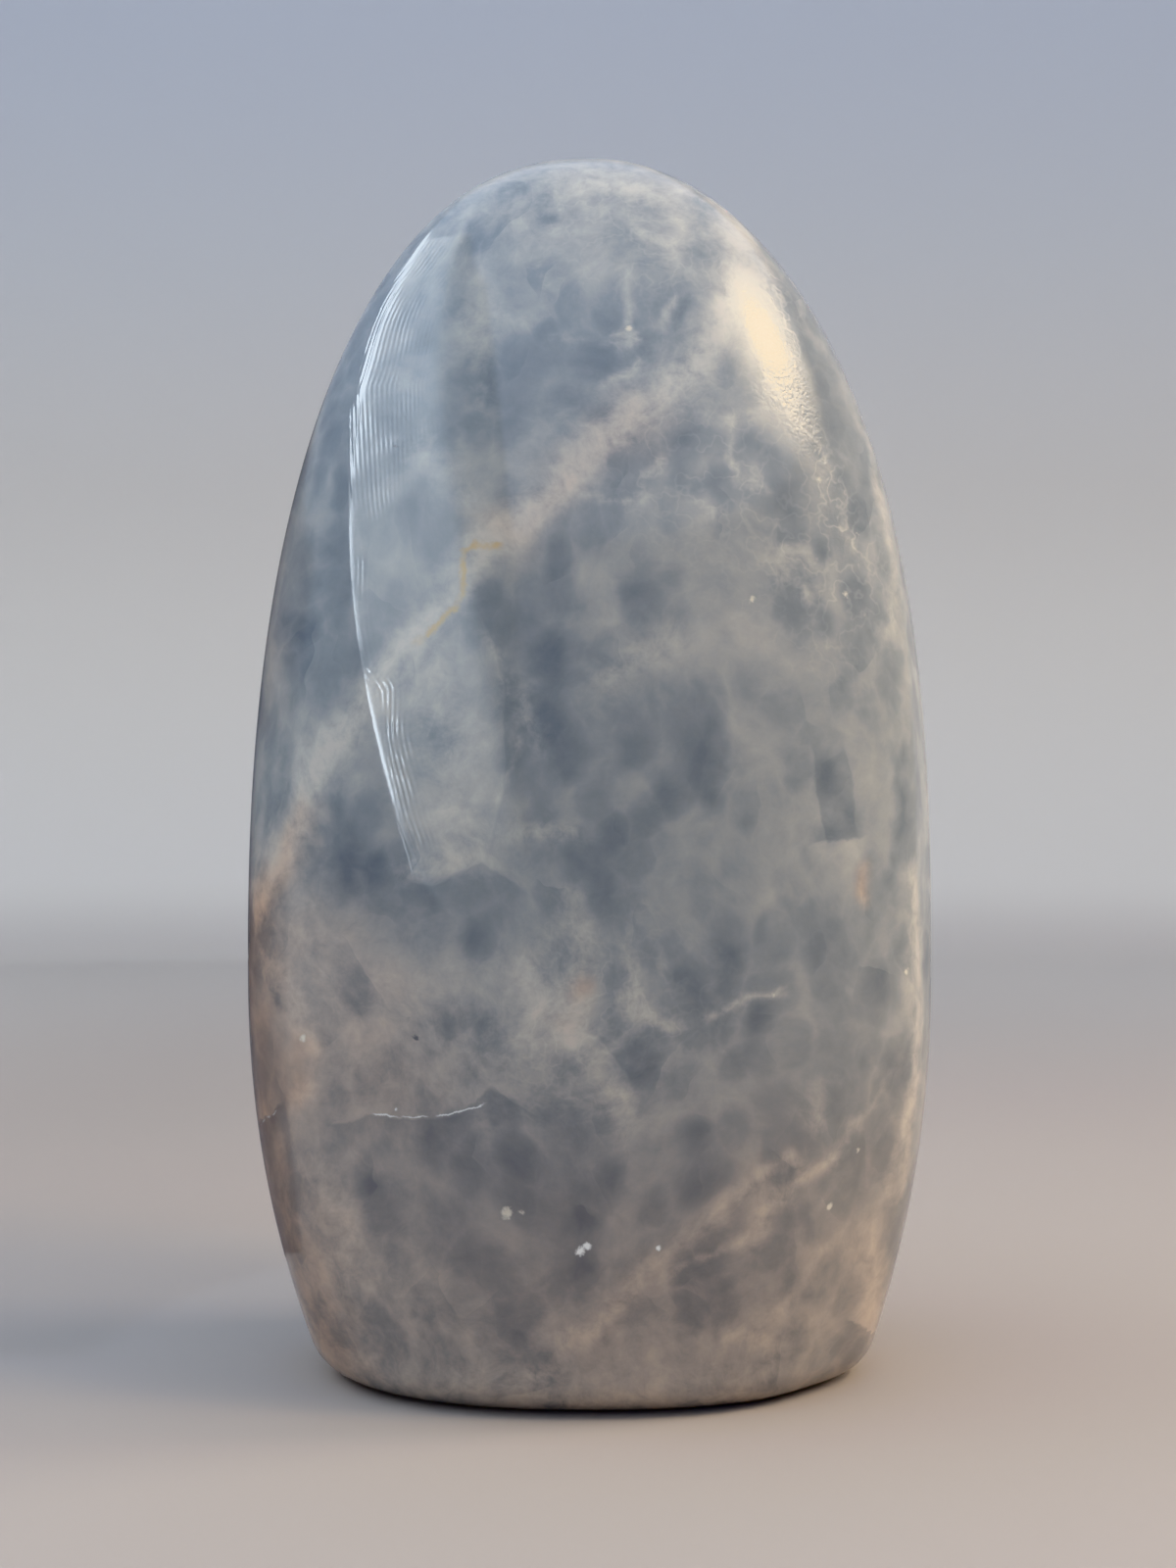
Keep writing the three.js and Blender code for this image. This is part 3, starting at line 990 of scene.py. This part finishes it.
# Painted light: the floor is painted lighter away from the stone, where the lamps' light falls off.
PAINTED_LIGHT_FROM, PAINTED_LIGHT_TO, PAINTED_LIGHT_SHARE = 120.0, 320.0, 0.5
LOW_WALL_COLOUR = (0.585, 0.545, 0.495, 1)
HIGH_WALL_COLOUR = (0.44, 0.465, 0.515, 1)
WALL_FOOT, WALL_DARKENS_FROM, WALL_DARKENS_TO = 18.0, 60.0, 300.0


def plain_finish(name, roughness):
    """A matte material: a floor lightened away from the stone as painted light, and a wall that darkens
    upwards.
    """
    material = bpy.data.materials.new(name)
    material.use_nodes = True
    tree = material.node_tree
    place = new_node(tree, "ShaderNodeTexCoord", {}).outputs["Object"]
    height = new_node(tree, "ShaderNodeSeparateXYZ", {0: place}).outputs["Z"]
    darker = spread(tree, height, WALL_DARKENS_FROM * MM, WALL_DARKENS_TO * MM)
    wall = blend(tree, darker, LOW_WALL_COLOUR, HIGH_WALL_COLOUR)
    away = new_node(tree, "ShaderNodeVectorMath", {0: place}, operation="LENGTH").outputs["Value"]
    # Painted light: lighter away from the stone, where the lamps' light falls off.
    painted_light = spread(tree, away, PAINTED_LIGHT_FROM * MM, PAINTED_LIGHT_TO * MM, 0.0, PAINTED_LIGHT_SHARE)
    ground = blend(tree, painted_light, FLOOR_COLOUR, LOW_WALL_COLOUR)
    colour = blend(tree, spread(tree, height, 0.0, WALL_FOOT * MM), ground, wall)
    tree.links.new(colour, tree.nodes["Principled BSDF"].inputs["Base Color"])
    tree.nodes["Principled BSDF"].inputs["Roughness"].default_value = roughness
    return material


ROOM_RADIUS, ROOM_MIDDLE_Y, ROOM_HEIGHT, ROOM_BEND = 860.0, -430.0, 620.0, 130.0


def room_profile():
    """The room's profile as distance from its middle and height: flat, a quarter circle, then straight up."""
    turn = np.linspace(0, np.pi / 2, 16)
    bend_out = ROOM_RADIUS - ROOM_BEND + ROOM_BEND * np.sin(turn)
    bend_up = ROOM_BEND * (1 - np.cos(turn))
    reach = np.concatenate([[ROOM_RADIUS / 2], bend_out, [ROOM_RADIUS]])
    return reach, np.concatenate([[0], bend_up, [ROOM_HEIGHT]])


def make_room():
    """The floor and the round wall as one surface, turned round the room's middle."""
    reach, height = room_profile()
    around = 128
    turn, reach_grid = np.meshgrid(np.linspace(0, 2 * np.pi, around, endpoint=False), reach)
    across, deep = (reach_grid * np.cos(turn)).ravel(), (reach_grid * np.sin(turn)).ravel()
    ring_points = np.stack([across, deep, np.repeat(height, around)], 1)
    room_points = np.concatenate([ring_points, [[0, 0, 0]]]) + [0, ROOM_MIDDLE_Y, 0]
    here = np.arange(around)
    after = (here + 1) % around
    start = np.arange(len(reach) - 1)[:, None] * around
    quads = np.stack([start + here, start + after, start + around + after, start + around + here], -1)
    fan = np.stack([np.full(around, len(ring_points)), here, after], 1)
    return new_piece("floor", room_points, fan.tolist() + quads[..., ::-1].reshape(-1, 4).tolist())


floor = make_room()
floor.data.materials.append(plain_finish("plain floor", 0.8))


# %% Lights
def area_light(name, azimuth, elevation, distance_mm, size_mm, radiance, colour, aim=(0, 0, 55)):
    """A rectangular light that faces the stone. radiance is how bright its face looks."""
    nx, ny = facing(azimuth)
    level, up = np.cos(np.radians(elevation)), np.sin(np.radians(elevation))
    place = np.array(aim) + distance_mm * np.array([nx * level, ny * level, up])
    data = bpy.data.lights.new(name, "AREA")
    data.shape = "RECTANGLE"
    data.size, data.size_y = size_mm[0] * MM, size_mm[1] * MM
    data.color = colour
    data.energy = radiance * np.pi * data.size * data.size_y
    light = bpy.data.objects.new(name, data)
    light.location = place * MM
    light.rotation_euler = Vector((np.array(aim) - place).tolist()).to_track_quat("-Z", "Y").to_euler()
    light.visible_camera = False
    bpy.context.scene.collection.objects.link(light)
    return light


def fade_to_rim(light):
    """Makes a light's face fade from its middle to its rim, so that its mirror image has a soft edge."""
    light.data.use_nodes = True
    tree = light.data.node_tree
    place = new_node(tree, "ShaderNodeNewGeometry", {}).outputs["Parametric"]
    sockets = {0: place, 1: (0.5, 0.5, 0.0)}
    off_middle = new_node(tree, "ShaderNodeVectorMath", sockets, operation="DISTANCE").outputs["Value"]
    tree.links.new(spread(tree, off_middle, 0.1, 0.5, 1.0, 0.0), tree.nodes["Emission"].inputs["Strength"])


lamp = area_light("warm lamp", 69, 45, 420, (140, 96), 30.0, (1.0, 0.74, 0.40))
lamp.data.shape = "ELLIPSE"
fade_to_rim(lamp)
halo = area_light("warm halo", 70, 44, 430, (380, 250), 6.0, (1.0, 0.80, 0.52))
halo.data.shape = "ELLIPSE"
fade_to_rim(halo)
key = area_light("warm key", 96, 21, 520, (130, 130), 2.9, (1.0, 0.89, 0.74))
key.visible_glossy = False
key.data.spread = np.radians(50)


# %% [markdown]
# The window isn't a plain rectangle. What the front flat mirrors of it is narrow at the bottom and wide at
# the top and fades to the right. Its left border is a much brighter strip, which the stone's skin draws out
# into the bright line down the left of the front. The strip is uneven and has two gaps, where the line
# breaks off. So the window is a sheet of its own shape, between two borders that are given as directions from
# the stone, azimuth and elevation in degrees, with its brightness stored on it.

# %% The window
WINDOW_LEFT_BORDER = [
    (-36, -1), (-40, 6), (-45, 12), (-51, 17), (-58, 22), (-68, 28), (-88, 34), (-108, 42), (-130, 49),
]
WINDOW_RIGHT_BORDER = [
    (-13, -1), (-12, 6), (-12, 12), (-13, 19), (-16, 27), (-20, 35), (-26, 44), (-38, 54), (-75, 64),
]
WINDOW_FAR = 450.0
PANEL_GLOW = (1.35, 4.5)

# The bright strip down the left border: how far along the border, counted in its stops, and how bright.
STRIP_GLOW = [
    (0.0, 2), (0.6, 8), (1.0, 15), (2.2, 18), (2.4, 6), (2.55, 0), (2.85, 0), (3.0, 9), (4.3, 11), (4.65, 8),
    (4.8, 0), (5.05, 0), (5.2, 20), (5.6, 28), (6.2, 30), (6.6, 24), (7.0, 12), (8.0, 0),
]
STRIP_WIDTH = (0.12, 0.15, 0.11, 0.10, 0.09, 0.20, 0.28, 0.30, 0.30)


def toward(azimuth, elevation):
    """The unit vector from the stone towards a direction."""
    nx, ny = facing(azimuth)
    level = np.cos(np.radians(elevation))
    return np.stack([nx * level, ny * level, np.sin(np.radians(elevation))], axis=-1)


def make_window(along_steps=65, across_steps=11):
    """A sheet of points between the borders: (1 - across) * left + across * right at each step along them."""
    along = np.linspace(0, 1, along_steps)
    stops = np.linspace(0, 1, len(WINDOW_LEFT_BORDER))
    left, right = [
        np.stack([np.interp(along, stops, [spot[axis] for spot in border]) for axis in (0, 1)], axis=-1)
        for border in (WINDOW_LEFT_BORDER, WINDOW_RIGHT_BORDER)
    ]
    across = np.linspace(0, 1, across_steps) ** 1.6
    angles = left[:, None] * (1 - across[None, :, None]) + right[:, None] * across[None, :, None]
    sheet_points = toward(angles[..., 0], angles[..., 1]).reshape(-1, 3) * WINDOW_FAR + [0, 0, 55]
    corner = (np.arange(along_steps - 1)[:, None] * across_steps + np.arange(across_steps - 1)).ravel()
    quads = np.stack([corner, corner + across_steps, corner + across_steps + 1, corner + 1], axis=-1)
    window = new_piece("window", sheet_points, quads.tolist())
    fade = np.clip((1 - across) / 0.9, 0, 1)
    panel = (PANEL_GLOW[0] + (PANEL_GLOW[1] - PANEL_GLOW[0]) * along[:, None]) * fade * fade * (3 - 2 * fade)
    at_stop = along * (len(stops) - 1)
    uneven = 0.9 + 0.7 * soft_noise(np.stack([at_stop, at_stop * 0, at_stop * 0], axis=-1), 0.22, 31)[:, 0]
    strip_glow = np.interp(at_stop, *zip(*STRIP_GLOW)) * uneven
    strip_width = np.interp(along, stops, STRIP_WIDTH)[:, None]
    strip = strip_glow[:, None] * np.clip(1 - across / strip_width, 0, 1)
    layer = window.data.attributes.new("glow", "FLOAT", "POINT")
    layer.data.foreach_set("value", (panel + strip).ravel().astype(np.float32))
    return window


def make_window_light():
    """A material that only shines, as brightly as the sheet's stored glow says."""
    material = bpy.data.materials.new("window light")
    material.use_nodes = True
    tree = material.node_tree
    tree.nodes.remove(tree.nodes["Principled BSDF"])
    sockets = {"Color": (0.78, 0.89, 1.0, 1), "Strength": stored(tree, "glow")}
    shine = new_node(tree, "ShaderNodeEmission", sockets)
    tree.links.new(shine.outputs[0], tree.nodes["Material Output"].inputs["Surface"])
    return material


window = make_window()
window.data.materials.append(make_window_light())
window.visible_camera = False

# %% [markdown]
# The left edge of the stone is dark, so something dark stands there in the room. A black card outside the
# picture does this in a studio: the edge mirrors the card and not the pale wall. This one lies on the floor
# beside the stone and stands up further out. Its flat part is a painted shadow: the lower left edge mirrors it
# as the floor there lying in shade. It shows in mirror images only, so the floor stays plain.

# %% A dark card at the left
CARD_SIDES = (-92, -165)
CARD_PROFILE = [(45.0, 0.6), (330.0, 0.6), (330.0, 170.0)]


def make_card(steps=15):
    """A bent sheet between two azimuths: flat on the floor to the profile's middle point, then upright."""
    nx, ny = facing(np.linspace(*CARD_SIDES, steps))
    rows = [
        np.stack([nx * reach, ny * reach, np.full(steps, height)], axis=-1) for reach, height in CARD_PROFILE
    ]
    here = (np.arange(len(CARD_PROFILE) - 1)[:, None] * steps + np.arange(steps - 1)).ravel()
    quads = np.stack([here, here + 1, here + steps + 1, here + steps], axis=-1)
    return new_piece("card", np.concatenate(rows), quads.tolist())


card = make_card()
card_material = bpy.data.materials.new("dark card")
card_material.use_nodes = True
card_material.node_tree.nodes["Principled BSDF"].inputs["Base Color"].default_value = (0.10, 0.085, 0.09, 1)
card_material.node_tree.nodes["Principled BSDF"].inputs["Roughness"].default_value = 0.9
card.data.materials.append(card_material)
card.visible_camera = False
card.visible_diffuse = False
card.visible_shadow = False

# %% The light of the room
HORIZON, ZENITH = (0.64, 0.70, 0.81, 1), (0.43, 0.56, 0.79, 1)
SKY_STRENGTH = 1.62
world = bpy.data.worlds.new("room light")
world.use_nodes = True
sky = world.node_tree
direction = new_node(sky, "ShaderNodeTexCoord", {}).outputs["Generated"]
up = new_node(sky, "ShaderNodeSeparateXYZ", {0: direction}).outputs["Z"]
sky_colour = blend(sky, spread(sky, up, 0.2, 0.95), HORIZON, ZENITH)
sky.links.new(sky_colour, sky.nodes["Background"].inputs["Color"])
sky.nodes["Background"].inputs["Strength"].default_value = SKY_STRENGTH
bpy.context.scene.world = world
bpy.context.scene.view_settings.view_transform = "Khronos PBR Neutral"
